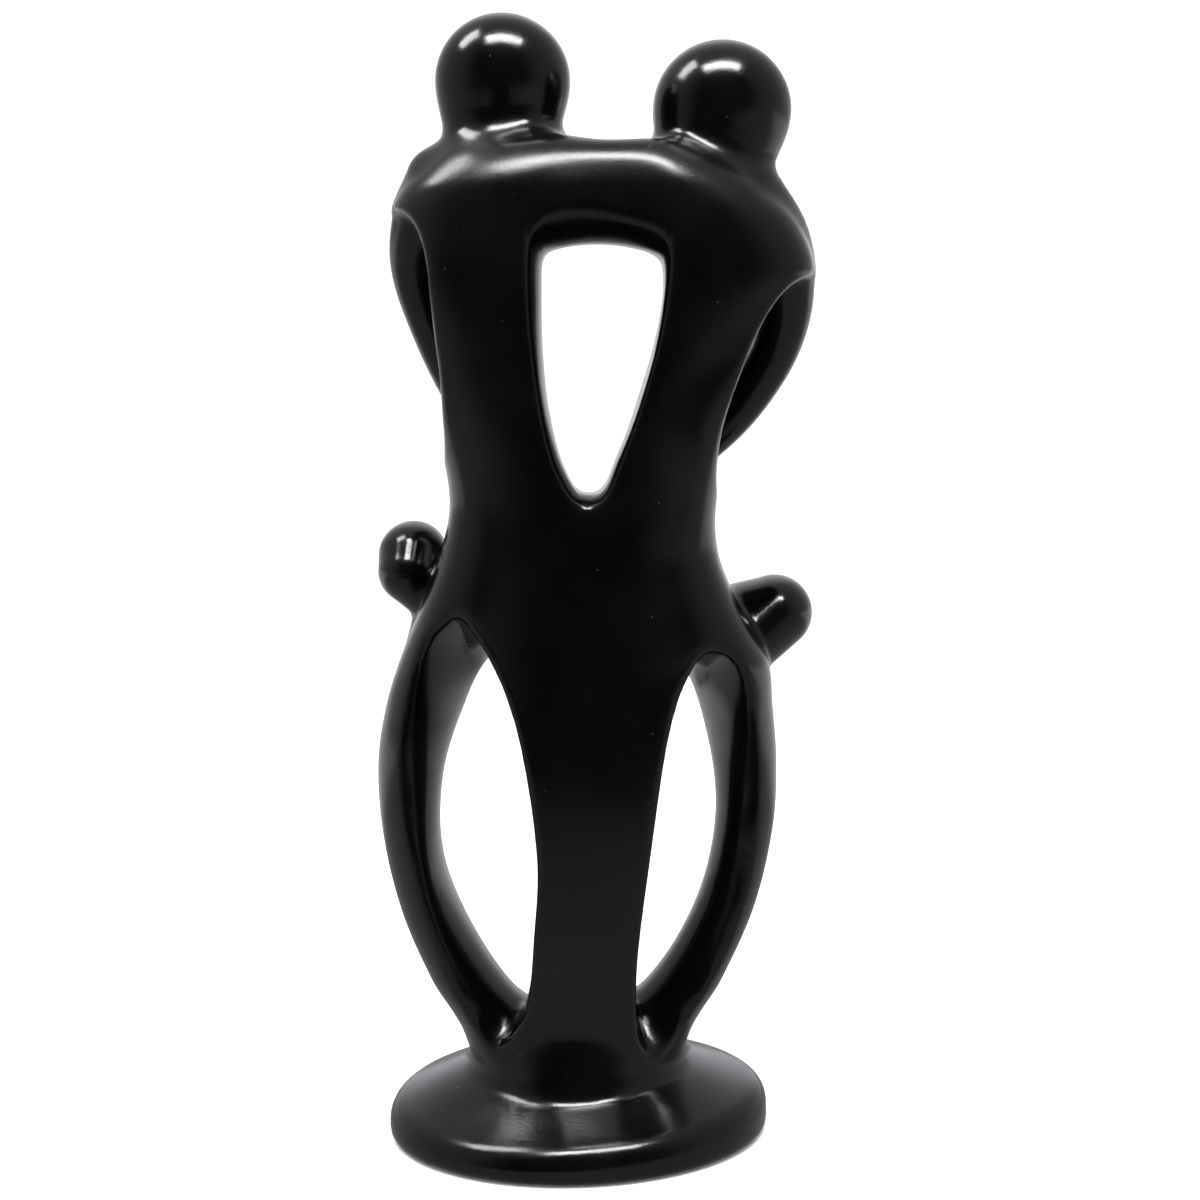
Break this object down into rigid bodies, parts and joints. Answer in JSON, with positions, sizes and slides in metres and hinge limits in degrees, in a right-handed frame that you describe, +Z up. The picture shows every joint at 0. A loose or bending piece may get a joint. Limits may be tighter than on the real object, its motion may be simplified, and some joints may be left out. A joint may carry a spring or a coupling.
{
  "type": "carved soapstone family sculpture",
  "caption": "Abstract family group with blank round heads, pierced bodies and a low domed round base, carved in one piece of polished black stone as a standing ornament.",
  "frame": {"origin": "centre of the round base's flat underside, where the sculpture stands", "axes": "+Z up through the figures; -Y towards the viewer of the parents' backs, as pictured; +X to that viewer's right, towards the shorter parent"},
  "size_m": [0.1225, 0.1037, 0.3036],
  "materials": {
    "soapstone": "hand polished, glossy black"
  },
  "bodies": {
    "root": {"family_carving": "soapstone"}
  },
  "joints": []
}
